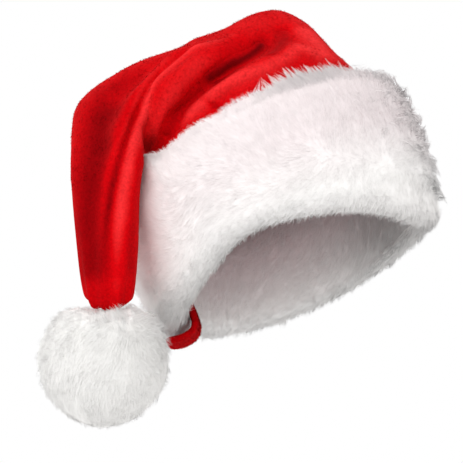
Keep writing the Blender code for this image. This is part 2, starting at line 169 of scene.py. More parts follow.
def scatter(points, triangles, normals, count, rng, keep=None):
    """Random places on a mesh, even by area. keep takes places and normals and gives what share to keep."""
    a, b, c = (points[triangles[:, k]] for k in range(3))
    area = np.linalg.norm(np.cross(b - a, c - a), axis=1) / 2
    if keep is not None:
        middle = (a + b + c) / 3
        facing = unit(normals[triangles].sum(axis=1))
        area = area * keep(middle, facing)
    picked = rng.choice(len(triangles), count, p=area / area.sum())
    u, v = rng.random(count), rng.random(count)
    flip = u + v > 1
    u[flip], v[flip] = 1 - u[flip], 1 - v[flip]
    weights = np.stack([1 - u - v, u, v], axis=1)[:, :, None]
    corner = triangles[picked]
    return (points[corner] * weights).sum(axis=1), unit((normals[corner] * weights).sum(axis=1))


def to_hat(points):
    """Places in the untilted hat, whose rim is level."""
    c, s = math.cos(TILT), math.sin(TILT)
    turned = np.array(((1, 0, 0), (0, c, -s), (0, s, c)))
    return points @ turned.T


def from_hat(points):
    """Directions or places of the untilted hat, as worn."""
    c, s = math.cos(TILT), math.sin(TILT)
    turned = np.array(((1, 0, 0), (0, c, -s), (0, s, c)))
    return points @ turned


def rim_height(turn):
    """How far the cuff's rim lies over the opening's plane."""
    height = np.zeros_like(turn)
    for values in RIM_WAVES:
        row = dict(zip(RIM_WAVE_COLUMNS, values, strict=True))
        away = degrees_from(turn, row["turn"])
        height += row["rise"] * CUFF_HEIGHT * np.exp(-((away / row["width"]) ** 2))
    return height


Spot = namedtuple("Spot", ("turn", "offset", "height", "outward"))


def round_opening(places):
    """Turn, offset, height over the rim and the outward direction of places in the untilted hat."""
    offset = np.full(len(places), 0.01)
    for _ in range(4):
        turn = np.arctan2(places[:, 1] / (HALF_LENGTH + offset), places[:, 0] / (HALF_WIDTH + offset))
        outward = unit(
            np.stack([HALF_LENGTH * np.cos(turn), HALF_WIDTH * np.sin(turn), 0 * turn], axis=1)
        )
        oval = np.stack([HALF_WIDTH * np.cos(turn), HALF_LENGTH * np.sin(turn), 0 * turn], axis=1)
        offset = ((places - oval) * outward).sum(axis=1)
    return Spot(turn, offset, places[:, 2] - rim_height(turn), outward)


def thickness_under(points, triangles, places, normals, most):
    """How far each place may go in before it leaves the solid."""
    tree = BVHTree.FromPolygons(points.tolist(), triangles.tolist())
    found = np.full(len(places), most)
    for index, (place, normal) in enumerate(zip(places, normals, strict=True)):
        start = Vector(place - normal * UNDER_FACE)
        hit = tree.ray_cast(start, Vector(-normal), most)
        if hit[0] is not None:
            found[index] = hit[3]
    return found


def strand_object(name, stations, widths, facing, colours, surface, sides):
    """Tapered strands as one mesh, each ending in a point. stations is strands x places x 3."""
    count, places = stations.shape[:2]
    along = unit(np.gradient(stations, axis=1))
    across = unit(np.cross(along, facing[:, None, :]))
    upright = np.cross(across, along)
    taper = np.linspace(1, 0, places)[None, :, None] ** TAPER
    half = widths[:, None, None] * taper / 2
    outward = np.repeat(facing[:, None, :], places, axis=1)
    rings, ring_normals = [], []
    for k in range(sides):
        angle = 2 * math.pi * k / sides
        out = across * math.cos(angle) + upright * math.sin(angle)
        rings.append((stations + out * half)[:, :-1])
        ring_normals.append(unit(outward + out * (ROUNDNESS if sides > 2 else 0))[:, :-1])
    body = np.stack(rings, axis=2).reshape(count, -1, 3)
    points = np.concatenate([body, stations[:, -1:]], axis=1)
    each = points.shape[1]
    triangles = []
    for k in range(sides if sides > 2 else 1):
        other = (k + 1) % sides
        for a in range(0, sides * (places - 2), sides):
            triangles.append((a + other, a + k, a + k + sides))
            triangles.append((a + other, a + k + sides, a + other + sides))
        a = sides * (places - 2)
        triangles.append((a + other, a + k, each - 1))
    triangles = np.array(triangles)
    faces = (triangles[None] + (np.arange(count) * each)[:, None, None]).reshape(-1, 3)
    mesh = bpy.data.meshes.new(name)
    mesh.vertices.add(count * each)
    mesh.vertices.foreach_set("co", points.reshape(-1))
    mesh.loops.add(faces.size)
    mesh.loops.foreach_set("vertex_index", faces.reshape(-1).astype(np.int32))
    mesh.polygons.add(len(faces))
    mesh.polygons.foreach_set("loop_start", np.arange(0, faces.size, 3, dtype=np.int32))
    mesh.polygons.foreach_set("loop_total", np.full(len(faces), 3, np.int32))
    mesh.update(calc_edges=True)
    mesh.shade_smooth()
    body_normals = np.stack(ring_normals, axis=2).reshape(count, -1, 3)
    custom = np.concatenate([body_normals, outward[:, -1:]], axis=1).reshape(-1, 3)
    mesh.normals_split_custom_set_from_vertices(custom.tolist())
    share = np.linspace(0, 1, places)
    share = np.concatenate([np.repeat(share[:-1], sides), share[-1:]])
    colour = np.ones((count, each, 4))
    # Each strand is darker at its root: painted shade among the strands.
    colour[..., :3] = colours[:, None, :] * (ROOT_PAINTED_SHADE + (1 - ROOT_PAINTED_SHADE) * share)[None, :, None]
    layer = mesh.color_attributes.new("strand", "FLOAT_COLOR", "POINT")
    layer.data.foreach_set("color", colour.reshape(-1).astype(np.float32))
    mesh.materials.append(surface)
    made = bpy.data.objects.new(name, mesh)
    bpy.context.scene.collection.objects.link(made)
    return made


def flow(places, normals, main, swirl, scale):
    """Which way the fur is combed: main, turned by a slow swirl, along the surface."""
    turned = np.array([noise.noise_vector(Vector(place * scale)) for place in places])
    way = main + turned * swirl
    return unit(way - normals * (way * normals).sum(axis=1, keepdims=True))


def grow(places, normals, rng, depth, reach, comb, lie, clumps, pull, stray):
    """Strand lines. They start depth under the surface, end reach over it and lie over by lie."""
    count = len(places)
    roots = places - normals * depth[:, None]
    loose = rng.normal(size=(count, 3))
    loose -= normals * (loose * normals).sum(axis=1, keepdims=True)
    sideways = comb * lie[:, None] + loose * (stray * (depth + reach))[:, None]
    tips = roots + normals * (depth + reach)[:, None] + sideways
    centres = rng.choice(count, clumps, replace=False)
    clump = nearest(tree_of(roots[centres]), roots)
    target = tips[centres][clump]
    stations = []
    for t in np.linspace(0, 1, STRAND_PARTS + 1):
        place = roots + normals * ((depth + reach) * math.sin(t * math.pi / 2))[:, None]
        place = place + sideways * t**1.5 + (target - tips) * (pull * t**2)[:, None]
        stations.append(place)
    return np.stack(stations, axis=1)


def turned_facing(normals, rng, spread):
    """Which way each flat strand faces: out, turned a little at random."""
    return unit(normals + rng.normal(size=normals.shape) * spread)


def node_group(surface):
    """A material's nodes and its shader."""
    surface.use_nodes = True
    return surface.node_tree, surface.node_tree.nodes["Principled BSDF"]


def painted_material(name, roughness, specular, sheen, tint, patches):
    """A material that takes its colour from the mesh, varied by patches: (scale, low, high) of a noise."""
    surface = bpy.data.materials.new(name)
    tree, shader = node_group(surface)
    strand = tree.nodes.new("ShaderNodeAttribute")
    strand.attribute_name = "strand"
    place = tree.nodes.new("ShaderNodeTexCoord")
    spots = tree.nodes.new("ShaderNodeTexNoise")
    spots.inputs["Scale"].default_value = patches[0]
    spots.inputs["Detail"].default_value = 5
    tree.links.new(place.outputs["Object"], spots.inputs["Vector"])
    level = tree.nodes.new("ShaderNodeMapRange")
    level.inputs["To Min"].default_value = patches[1]
    level.inputs["To Max"].default_value = patches[2]
    tree.links.new(spots.outputs["Fac"], level.inputs["Value"])
    scale = tree.nodes.new("ShaderNodeVectorMath")
    scale.operation = "SCALE"
    tree.links.new(strand.outputs["Color"], scale.inputs[0])
    tree.links.new(level.outputs["Result"], scale.inputs["Scale"])
    tree.links.new(scale.outputs["Vector"], shader.inputs["Base Color"])
    shader.inputs["Roughness"].default_value = roughness
    shader.inputs["Specular IOR Level"].default_value = specular
    shader.inputs["Sheen Weight"].default_value = sheen
    shader.inputs["Sheen Roughness"].default_value = 0.4
    shader.inputs["Sheen Tint"].default_value = (*tint, 1)
    return surface, tree, shader, place


def plush_material(name):
    """Red plush: uneven dye and pile, with a soft sheen where it turns away."""
    surface, tree, shader, place = painted_material(
        name, roughness=0.9, specular=0.03, sheen=0.15, tint=(1.0, 0.1, 0.1), patches=(520, 0.6, 1.4)
    )
    pile = tree.nodes.new("ShaderNodeTexNoise")
    pile.inputs["Scale"].default_value = 700
    pile.inputs["Detail"].default_value = 3
    tree.links.new(place.outputs["Object"], pile.inputs["Vector"])
    bump = tree.nodes.new("ShaderNodeBump")
    bump.inputs["Strength"].default_value = 0.5
    bump.inputs["Distance"].default_value = 0.0008
    tree.links.new(pile.outputs["Fac"], bump.inputs["Height"])
    tree.links.new(bump.outputs["Normal"], shader.inputs["Normal"])
    return surface


def fur_material(name, sheen):
    """White fur, with a faint unevenness over its strands."""
    made = painted_material(
        name, roughness=0.8, specular=0.15, sheen=sheen, tint=(1, 1, 1), patches=(60, 0.97, 1.03)
    )
    return made[0]


def finish_piece(piece, slot, *nodes):
    """Hangs a piece on the root body and hides the nodes it stands for. slot is not used."""
    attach(piece, "root")
    if nodes:
        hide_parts(*nodes)


# Camera
towards = Vector((
    math.sin(AZIMUTH) * math.cos(ELEVATION),
    -math.cos(AZIMUTH) * math.cos(ELEVATION),
    math.sin(ELEVATION),
))
right = Vector((math.cos(AZIMUTH), math.sin(AZIMUTH), 0))
above = towards.cross(right)
if above.z < 0:
    above = -above
# The same directions as arrays
to_camera = np.array(towards)
to_right = np.array(right)
to_above = np.array(above)
left = -to_right
down = np.array((0.0, 0.0, -1.0))
half = FRAME_PIXELS / 2
aim = above * (ORIGIN_PIXEL[1] - half) * METRES_PER_PIXEL
aim = aim - right * (ORIGIN_PIXEL[0] - half) * METRES_PER_PIXEL
camera_data = bpy.data.cameras.new("camera")
camera = bpy.data.objects.new("camera", camera_data)
bpy.context.scene.collection.objects.link(camera)
turned = Matrix((right, above, towards)).transposed().to_4x4()
camera.matrix_world = Matrix.Translation(aim + towards * CAMERA_DISTANCE) @ turned
camera_data.sensor_width = SENSOR_WIDTH
camera_data.lens = SENSOR_WIDTH * CAMERA_DISTANCE / (FRAME_PIXELS * METRES_PER_PIXEL)
bpy.context.scene.camera = camera

# Both sources of random draws start from the same seed.
SEED = 12
rng = np.random.default_rng(SEED)
noise.seed_set(SEED)

# Folds of the plush as seen from the camera. Places are in the photograph's frame and are cast onto the
# crown. width and relief are in millimetres. tone is painted light: above 0 a painted highlight, as on
# crests, and below 0 painted shade, as in grooves.
FOLD_COLUMNS = ("name", "width", "relief", "painted_light", "places")
FOLD_LINES = (
    ("groove", 4.0, -3.8, -0.85, (
        (264, 40), (259, 48), (250, 55), (240, 60), (226, 66), (213, 75), (204, 83))),
    ("under the roll", 5.0, -2.0, -0.28, (
        (204, 83), (195, 93), (185, 104), (177, 115), (170, 127), (163, 139))),
    ("pocket", 6.5, -2.0, -0.34, ((285, 26), (284, 38), (276, 48), (266, 56))),
    ("base strip", 5.5, 1.5, 0.36, (
        (330, 62), (310, 50), (298, 48), (285, 58), (265, 68), (245, 75), (228, 82), (214, 92),
        (202, 103), (190, 115), (178, 130))),
    ("strip fold", 2.5, -1.0, -0.18, ((234, 68), (223, 76), (214, 85))),
    ("wrinkle", 2.0, -1.2, -0.25, ((204, 98), (211, 104), (221, 108))),
    ("right of the peak", 13.0, 0.0, 0.42, ((303, 26), (315, 38), (330, 58))),
    ("peak", 10.0, 0.0, 0.08, ((235, 26), (262, 18), (290, 22))),
    ("roll", 4.5, 3.0, 0.42, (
        (230, 30), (205, 42), (190, 51), (178, 62), (165, 75), (155, 87), (147, 100), (143, 115),
        (137, 130), (133, 145), (129, 160), (125, 178), (121, 200), (117, 240), (115, 285))),
    ("roll side", 7.0, 0.5, 0.15, (
        (215, 48), (195, 66), (178, 86), (163, 108), (153, 130), (145, 150), (138, 170), (133, 200),
        (128, 240))),
    ("valley", 2.6, -3.0, -0.30, (
        (200, 42), (186, 51), (172, 62), (160, 73), (150, 84), (143, 96), (137, 111), (131, 125),
        (127, 138), (121, 156), (113, 185), (107, 220), (103, 260))),
    ("thin ridge", 3.2, 1.8, 0.18, (
        (180, 53), (165, 65), (152, 78), (143, 91), (136, 105), (129, 120), (123, 135), (116, 150),
        (110, 165), (105, 185), (100, 225))),
    ("left face", 16.0, -1.0, -0.40, (
        (120, 92), (101, 120), (98, 145), (93, 170), (90, 200), (88, 230), (90, 262), (94, 292))),
    ("upper left", 10.0, 0.0, -0.12, ((90, 100), (120, 84), (150, 68))),
    ("sleeve right", 5.0, 0.0, -0.20, ((150, 145), (140, 165), (134, 200), (131, 240), (131, 285))),
    ("crease edge", 5.0, 4.0, -0.05, ((139, 145), (139, 157), (138, 172))),
)

# Where the crown's outline goes in as seen from the camera: place and radius in pixels, move in millimetres
OUTLINE_COLUMNS = ("name", "place", "radius", "right", "up")
OUTLINE_MOVES = (
    ("left of the peak", (222, 22), 28, 1.0, -5.0),
    ("right of the peak", (332, 50), 24, -1.7, -1.4),
)

# Slow waves over all of the crown. height is in metres, and tone is painted light as in the fold lines:
# lighter on the waves' rises and darker in their dips.
CROWN_WAVE_COLUMNS = ("scale", "height", "painted_light")
CROWN_WAVES = (
    (22, 0.0016, 0.06),
    (55, 0.0006, 0.05),
)
# The middle of the tone scale is the plain plush, with no painted light.
MIDDLE_TONE = 0.5
# A fold line fades out over a share of its length at each end, down to its least strength.
LINE_FADE = 0.1
LEAST_STRENGTH = 0.25
# How far over the hem the folds come in, in metres
HEM_BAND = 0.006


def in_photo(places):
    """Where places show in the photograph's frame, in pixels."""
    rays = places - np.array(camera.location)
    depth = -(rays @ to_camera)
    scale = CAMERA_DISTANCE / METRES_PER_PIXEL / depth
    return np.stack([half + rays @ to_right * scale, half - rays @ to_above * scale], axis=1)


# Red plush of the crown
crown = welded_copy("crown", "crown_plush", 2)
c_points, c_triangles, c_normals = arrays(crown.data)
crown_tree = BVHTree.FromPolygons(c_points.tolist(), c_triangles.tolist())


def seen_on_crown(pixel):
    """The place on the crown that shows at a pixel of the photograph's frame."""
    eye = np.array(camera.location)
    spot = aim + right * (pixel[0] - half) * METRES_PER_PIXEL - above * (pixel[1] - half) * METRES_PER_PIXEL
    hit = crown_tree.ray_cast(Vector(eye), (spot - camera.location).normalized())
    return None if hit[0] is None else np.array(hit[0])


def spread_line(places, steps=8):
    """Points along a line of places, evenly placed between each pair."""
    found = []
    for start, end in zip(places, places[1:]):
        found += [start + (end - start) * k / steps for k in range(steps)]
    return np.array(found + [places[-1]])


def outer_side(points, normals):
    """True where a ray inwards soon meets the wall's other face."""
    found = np.zeros(len(points), bool)
    for index, (place, normal) in enumerate(zip(points, normals, strict=True)):
        inward = crown_tree.ray_cast(Vector(place - normal * OFF_FACE), Vector(-normal), WALL_REACH)
        outward = crown_tree.ray_cast(Vector(place + normal * OFF_FACE), Vector(normal), OPEN_REACH)
        found[index] = inward[0] is not None and (outward[0] is None or inward[3] < outward[3])
    return found


# The folds' relief and their painted light: painted highlights and painted shade.
c_relief = np.zeros(len(c_points))
c_painted_light = np.full(len(c_points), MIDDLE_TONE)
for values in FOLD_LINES:
    row = dict(zip(FOLD_COLUMNS, values, strict=True))
    places = [seen_on_crown(pixel) for pixel in row["places"]]
    line = spread_line([place for place in places if place is not None])
    tree = tree_of(line)
    found = [tree.find(place) for place in c_points]
    distance = np.array([hit[2] for hit in found])
    share = np.array([hit[1] for hit in found]) / (len(line) - 1)
    strength = (np.minimum(share, 1 - share) / LINE_FADE).clip(LEAST_STRENGTH, 1)
    reach = np.exp(-((distance / (row["width"] * MM)) ** 2)) * strength
    c_relief += row["relief"] * MM * reach
    c_painted_light += row["painted_light"] * reach
for values in CROWN_WAVES:
    row = dict(zip(CROWN_WAVE_COLUMNS, values, strict=True))
    waves = np.array([noise.noise(Vector(place * row["scale"])) for place in c_points])
    c_relief += waves * row["height"]
    c_painted_light += waves * row["painted_light"]

# The relief moves both faces of the wall together, along the outer face's normals.
outer = np.flatnonzero(outer_side(c_points, c_normals))
partner = outer[nearest(tree_of(c_points[outer]), c_points)]
hem = ((to_hat(c_points)[:, 2] - CUFF_HEIGHT) / HEM_BAND).clip(0, 1)
moved = c_points + c_normals[partner] * (c_relief[partner] * hem)[:, None]
for values in OUTLINE_MOVES:
    row = dict(zip(OUTLINE_COLUMNS, values, strict=True))
    away = np.linalg.norm(in_photo(c_points) - np.array(row["place"]), axis=1) / row["radius"]
    share = np.exp(-(away**2)) * hem
    moved += share[:, None] * (to_right * row["right"] + to_above * row["up"]) * MM

# The tip's near side ends lower, in two lobes that press into the pompom's fur. Lengths are in metres.
ball_points = arrays(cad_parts["pompom"].data)[0]
centre = ball_points.mean(axis=0)
ball_radius = np.linalg.norm(ball_points - centre, axis=1).mean()
END_BAND = 0.012
END_DROP = 0.0125
END_FRONT = 0.010
LOBES = 2
LOBE_WIDTH = 0.016
LOBE_SHARE = 0.15
level_towards = unit(to_camera * (1, 1, 0))
from_centre = moved - centre
near_end = (1 - (np.linalg.norm(from_centre, axis=1) - ball_radius) / END_BAND).clip(0, 1)
sideways = from_centre @ to_right
front = ((from_centre @ level_towards) / END_FRONT).clip(0, 1)
lobes = 1 - LOBE_SHARE + LOBE_SHARE * np.cos((sideways / LOBE_WIDTH + 0.5) * math.pi * LOBES)
moved[:, 2] -= END_DROP * near_end * front * lobes
crown.data.vertices.foreach_set("co", moved.reshape(-1))
crown.data.update()

# The plush's colours for painted shade, its plain red and a painted highlight.
PILE_COLOURS = np.array(((0.15, 0.0, 0.0012), (0.58, 0.0008, 0.003), (0.84, 0.032, 0.034)))


def pile_colour(painted_light):
    """The plush's colour from 0, painted shade, through the plain red at the middle, to 1, a painted
    highlight.
    """
    painted_light = painted_light.clip(0, 1) * 2
    low = np.minimum(painted_light.astype(int), 1)
    share = (painted_light - low)[:, None]
    return PILE_COLOURS[low] * (1 - share) + PILE_COLOURS[low + 1] * share


def paint(mesh, colours):
    """Gives a mesh the colours that its painted material takes."""
    layer = mesh.color_attributes.new("strand", "FLOAT_COLOR", "POINT")
    full = np.ones((len(colours), 4), np.float32)
    full[:, :3] = colours
    layer.data.foreach_set("color", full.reshape(-1))


# The crown's colours carry its folds' painted highlights and painted shade.
paint(crown.data, pile_colour(c_painted_light))
plush = plush_material("plush")
crown.data.materials.append(plush)
finish_piece(crown, "crown_plush", "crown")
c_points, c_triangles, c_normals = arrays(crown.data)
crown_tree = BVHTree.FromPolygons(c_points.tolist(), c_triangles.tolist())
tone_tree = tree_of(c_points)

# Fur and pile grow in layers of strands. Lengths are in millimetres: depth is how deep a strand is rooted,
# reach how far its tip stands over the surface, lie how far it leans along the comb, width its own. clump
# strands lean together by a share of pull. stray spreads the tips and turn the ways the strands face, both
# as shares, and a strand is flat with 2 sides or round with 3.
LAYER_COLUMNS = (
    "name", "count", "depth", "reach", "lie", "width", "clump", "pull", "stray", "turn", "sides"
)
LAYERS = (
    ("crown_pile", 33000, 0.3, (0.4, 1.2), (1.0, 2.2), (0.4, 0.5), 20, (0.0, 0.5), 0.25, 0.12, 2),
    ("cuff_fur_outside", 62000, 0.9, (0.1, 1.4), (5.0, 11.0), (0.3, 0.5), 30, (0.0, 0.25), 0.40, 0.06, 2),
    ("cuff_fur_inside", 45000, 0.9, (0.1, 1.2), (4.0, 9.0), (0.3, 0.5), 30, (0.0, 0.3), 0.40, 0.06, 2),
    ("cuff_tufts", 3600, 3.0, (0.5, 5.0), (2.5, 7.0), (0.35, 0.5), 20, (0.6, 1.0), 0.55, 0.15, 3),
    ("edge_tufts", 2800, 3.0, (1.5, 8.0), (2.5, 7.0), (0.4, 0.65), 16, (0.7, 1.0), 0.45, 0.15, 3),
    ("cuff_top_wisps", 4500, 2.0, (0.5, 3.5), (2.0, 5.0), (0.3, 0.5), 9, (0.3, 1.0), 0.45, 0.15, 3),
    ("crown_wisps", 700, 1.5, (0.5, 2.5), (6.0, 12.0), (0.35, 0.55), 7, (0.7, 1.0), 0.30, 0.15, 3),
    ("rim_tufts", 6500, 1.5, (0.2, 2.4), (2.0, 6.0), (0.25, 0.45), 16, (0.1, 0.9), 0.35, 0.15, 3),
    ("crease_wisps", 500, 1.0, (0.5, 2.5), (5.0, 10.0), (0.35, 0.5), 8, (0.2, 0.8), 0.40, 0.15, 3),
    ("pompom_fur", 58000, 0.9, (0.1, 1.4), (4.0, 9.0), (0.3, 0.5), 24, (0.0, 0.3), 0.40, 0.06, 2),
    ("pompom_tufts", 5000, 3.0, (1.0, 4.0), (2.0, 5.0), (0.3, 0.5), 12, (0.4, 1.0), 0.40, 0.15, 3),
    ("tip_wisps", 260, 1.0, (1.5, 4.0), (5.0, 9.0), (0.35, 0.5), 9, (0.3, 1.0), 0.50, 0.15, 3),
    ("fold_pile", 5000, 0.3, (0.4, 1.0), (0.8, 1.8), (0.35, 0.45), 16, (0.0, 0.5), 0.30, 0.12, 2),
)
# How much of the longer hair of a spot goes into its reach
LONGER_REACH = (0.2, 0.6)
layers = {values[0]: dict(zip(LAYER_COLUMNS, values, strict=True)) for values in LAYERS}


def fur_layer(
    name, surface_of, keep, comb, colours, material, slot, room=None, longer=None, facing_of=None
):
    """Grows one layer. comb and colours are functions of its places and normals."""
    row = layers[name]
    count = row["count"]
    places, normals = scatter(*surface_of, count, rng, keep)
    facing = normals if facing_of is None else facing_of(normals)
    depth = np.full(count, row["depth"] * MM)
    if room is not None:
        depth = np.minimum(depth, room(places, normals) * 0.5)
    reach = rng.uniform(*row["reach"], count) * MM
    lie = rng.uniform(*row["lie"], count) * MM
    if longer is not None:
        more = longer(places, normals)
        reach = reach + more * rng.uniform(*LONGER_REACH, count)
        lie = lie + more
    stations = grow(
        places, normals, rng, depth, reach, comb(places, normals), lie, count // row["clump"],
        rng.uniform(*row["pull"], count), row["stray"],
    )
    piece = strand_object(
        name, stations, rng.uniform(*row["width"], count) * MM, turned_facing(facing, rng, row["turn"]),
        colours(places, normals), material, row["sides"],
    )
    finish_piece(piece, slot)
    return piece


# Short pile on the crown's outer face, down to a little under the cuff's top
PILE_UNDER_TOP = 0.004
TONE_SPREAD = 0.1


def outer_face(places, facing):
    """1 on the crown's outer face over the cuff, else 0."""
    return outer_side(places, facing) * (to_hat(places)[:, 2] > CUFF_HEIGHT - PILE_UNDER_TOP)


def crown_colours(places, normals):
    """The plush's colour with the painted shade and highlights at the places, a little uneven."""
    painted_light = c_painted_light[nearest(tone_tree, places)]
    return pile_colour(painted_light + rng.normal(size=len(places)) * TONE_SPREAD)


fur_layer(
    "crown_pile", (c_points, c_triangles, c_normals), outer_face,
    lambda places, normals: flow(places, normals, down, 0.8, 40), crown_colours, plush, "crown_plush",
)

# White fur of the cuff
fur_surface = fur_material("white_fur", 0.1)
NEUTRAL_WHITE = np.array((0.95, 0.945, 0.935))
# The upper cuff's white: painted shade with a pink cast.
SHADED_PINK_WHITE = np.array((0.885, 0.83, 0.835))
# How uneven the white is from strand to strand, and the most that it gets
WHITE_SPREAD, TUFT_SPREAD, WHITEST = 0.04, 0.08, 0.99
# The upper cuff's darker, pinker white is painted shade with a pink cast.
# It comes in over the rim, from a height and over a band that are shares of CUFF_HEIGHT, but for a share
# near one turn, in degrees.
CUFF_SHADE_FROM, CUFF_SHADE_BAND = 0.1, 0.4
PLAIN_TURN, PLAIN_WIDTH, PLAIN_SHARE = 150, 35, 0.7


def white(places, spread):
    """The white of the fur at its places, with painted shade, a little pink, on the upper cuff."""
    places_in_hat = to_hat(places)
    share = ((places_in_hat[:, 2] / CUFF_HEIGHT - CUFF_SHADE_FROM) / CUFF_SHADE_BAND).clip(0, 1)
    away = degrees_from(round_opening(places_in_hat).turn, PLAIN_TURN)
    share = (share * (1 - PLAIN_SHARE * np.exp(-((away / PLAIN_WIDTH) ** 2))))[:, None]
    base = NEUTRAL_WHITE * (1 - share) + SHADED_PINK_WHITE * share
    return base * rng.uniform(1 - spread, 1 + spread / 3, len(places))[:, None]


pile = welded_copy("cuff_pile", "cuff_fur_base", 1)
p_points, p_triangles, p_normals = arrays(pile.data)
up = from_hat(np.array((0.0, 0.0, 1.0)))
TOP_SETTLE = 0.0045
TOP_BAND = 0.020
settled = ((to_hat(p_points)[:, 2] - CUFF_HEIGHT + TOP_BAND) / TOP_BAND).clip(0, 1) ** 2
p_points = p_points - up * (TOP_SETTLE * settled)[:, None]

# Where the fur stands out more, as seen in the photograph's frame: place and radius in pixels, more in
# millimetres.
FULLER_COLUMNS = ("name", "place", "radius", "more")
FULLER = (
    ("beside the crease", (152, 168), 15, 5.0),
    ("beside the tip", (142, 205), 16, 3.0),
    ("corner of the crease", (148, 157), 7, 4.0),
)
MOST_DEPTH = 0.012
RIM_BAND = 0.004
SKIN = 0.0013
# The cuff is smooth over the ear and tufted over the forehead and behind. Turns are in degrees.
SMOOTH_TURN, SMOOTH_WIDTH = 200, 72
LEAST_TUFTS = 0.01
EDGE_TURN, EDGE_WIDTH = 303, 38
EDGE_FACING, EDGE_FACING_BAND = 0.75, 0.5
EDGE_FROM = 0.012
# How far past edge-on each side's fur grows, and how far up a face looks where it is the fur's shoulder
SIDE_OVERLAP = 0.2
SHOULDER = 0.25
# How much the strands on the shoulder turn to face outwards
OUTWARDS_SHARE = 0.8

for values in FULLER:
    row = dict(zip(FULLER_COLUMNS, values, strict=True))
    away = np.linalg.norm(in_photo(p_points) - np.array(row["place"]), axis=1) / row["radius"]
    facing_camera = p_normals @ to_camera > -SIDE_OVERLAP
    more = row["more"] * MM * np.exp(-(away**2)) * facing_camera
    p_points = p_points + p_normals * more[:, None]
pile.data.vertices.foreach_set("co", p_points.reshape(-1))
pile.data.update()
p_points, p_triangles, p_normals = arrays(pile.data)


def pile_room(places, normals):
    """How deep the fur is under its places."""
    return thickness_under(p_points, p_triangles, places, normals, MOST_DEPTH)


def outwards(spot, facing):
    """How far each face looks away from the hat's middle."""
    return (from_hat(spot.outward) * facing).sum(axis=1)


def outside_share(places, facing):
    """1 on the fur's outer side, round to the middle of the rim, else 0."""
    spot = round_opening(to_hat(places))
    outer = (outwards(spot, facing) > -SIDE_OVERLAP) & (spot.offset > CUFF_THICKNESS + SKIN)
    return outer | ((spot.height < -SKIN) & (spot.offset > 0))


def inside_share(places, facing):
    """1 on the fur's inner side, round to the middle of the rim, else 0."""
    spot = round_opening(to_hat(places))
    inner = (outwards(spot, facing) < SIDE_OVERLAP) & (spot.offset < -SKIN)
    return inner | ((spot.height < -SKIN) & (spot.offset < CUFF_THICKNESS))


def tufted_share(places, facing):
    """Outside, few over the ear and many elsewhere."""
    away = degrees_from(round_opening(to_hat(places)).turn, SMOOTH_TURN)
    return outside_share(places, facing) * (LEAST_TUFTS + 1 - np.exp(-((away / SMOOTH_WIDTH) ** 4)))


def edge_share(places, facing):
    """Outside, over the forehead, over the rim and more where the fur turns away from the camera."""
    spot = round_opening(to_hat(places))
    away = degrees_from(spot.turn, EDGE_TURN)
    far_side = ((EDGE_FACING - facing @ to_camera) / EDGE_FACING_BAND).clip(0, 1)
    near_turn = np.exp(-((away / EDGE_WIDTH) ** 4))
    return outside_share(places, facing) * near_turn * (spot.height > EDGE_FROM) * far_side


def top_share(places, facing):
    """The shoulder of the fur, where it meets the crown."""
    return (facing @ up > SHOULDER) & (round_opening(to_hat(places)).offset > CUFF_THICKNESS + SKIN)


def rim_share(places, facing):
    """The fur's lower edge, inside and outside."""
    spot = round_opening(to_hat(places))
    free = (spot.height < -SKIN) | (spot.offset > CUFF_THICKNESS + SKIN) | (spot.offset < -SKIN)
    return (spot.height < RIM_BAND) & free


# The fur outside parts at this share of CUFF_HEIGHT and turns over this band.
PARTING, PARTING_BAND = 0.4, 0.4


def outside_comb(places, normals):
    """Up at the cuff's top, down and to the left at its rim, and round to the back."""
    spot = round_opening(to_hat(places))
    share = ((spot.height / CUFF_HEIGHT - PARTING) / PARTING_BAND).clip(-1, 1)[:, None]
    below = (share < 0) * -share
    main = up * share * 0.8 - to_camera * 0.4 + left * (0.25 + 0.4 * below)
    return flow(places, normals, main, 0.5, 28)


def inside_comb(places, normals):
    return flow(places, normals, -up * 0.7 + left * 0.7, 0.35, 28)


def facing_outwards(normals):
    """The fur's top shows its strands' sides, so they face outwards rather than up."""
    rise = (normals @ up).clip(0, 1)[:, None]
    return unit(normals - up * rise * OUTWARDS_SHARE)


def top_comb(places, normals):
    return flow(places, normals, up + left * 0.7, 0.6, 60)


def tuft_comb(places, normals):
    return flow(places, normals, down * 0.2, 1.2, 90)


def rim_comb(places, normals):
    return unit(-up + left * 0.8 + rng.normal(size=places.shape) * 0.15)


def cuff_white(places, normals):
    """The white of the fur outside, with painted light on its shoulder, where it faces up."""
    lighter = 1 + TOP_PAINTED_LIGHT * (normals @ up).clip(0, 1)[:, None]
    return np.minimum(white(places, WHITE_SPREAD) * lighter, WHITEST)


def edge_white(places, normals):
    """More uneven, as the tufts stand apart."""
    return white(places, TUFT_SPREAD)


def inner_shaded_white(places, normals):
    """Painted shade: greyer further up inside, with a painted shadow at one turn."""
    spot = round_opening(to_hat(places))
    share = ((spot.height / CUFF_HEIGHT - INNER_SHADE_FROM) / INNER_SHADE_BAND).clip(0, 1)
    away = degrees_from(spot.turn, SHADE_TURN)
    share = share * (1 - INNER_GREY) + SHADE * np.exp(-((away / SHADE_WIDTH) ** 2))
    return white(places, WHITE_SPREAD) * (1 - share)[:, None]


# The fur inside gets painted shade, grey from a height and over a band that are shares of CUFF_HEIGHT,
# and a painted shadow at one turn, in degrees. Outside, the shoulder gets painted light.
INNER_SHADE_FROM, INNER_SHADE_BAND = 0.48, 0.4
INNER_GREY = 0.64
SHADE, SHADE_TURN, SHADE_WIDTH = 0.46, 325, 35
TOP_PAINTED_LIGHT = 0.18

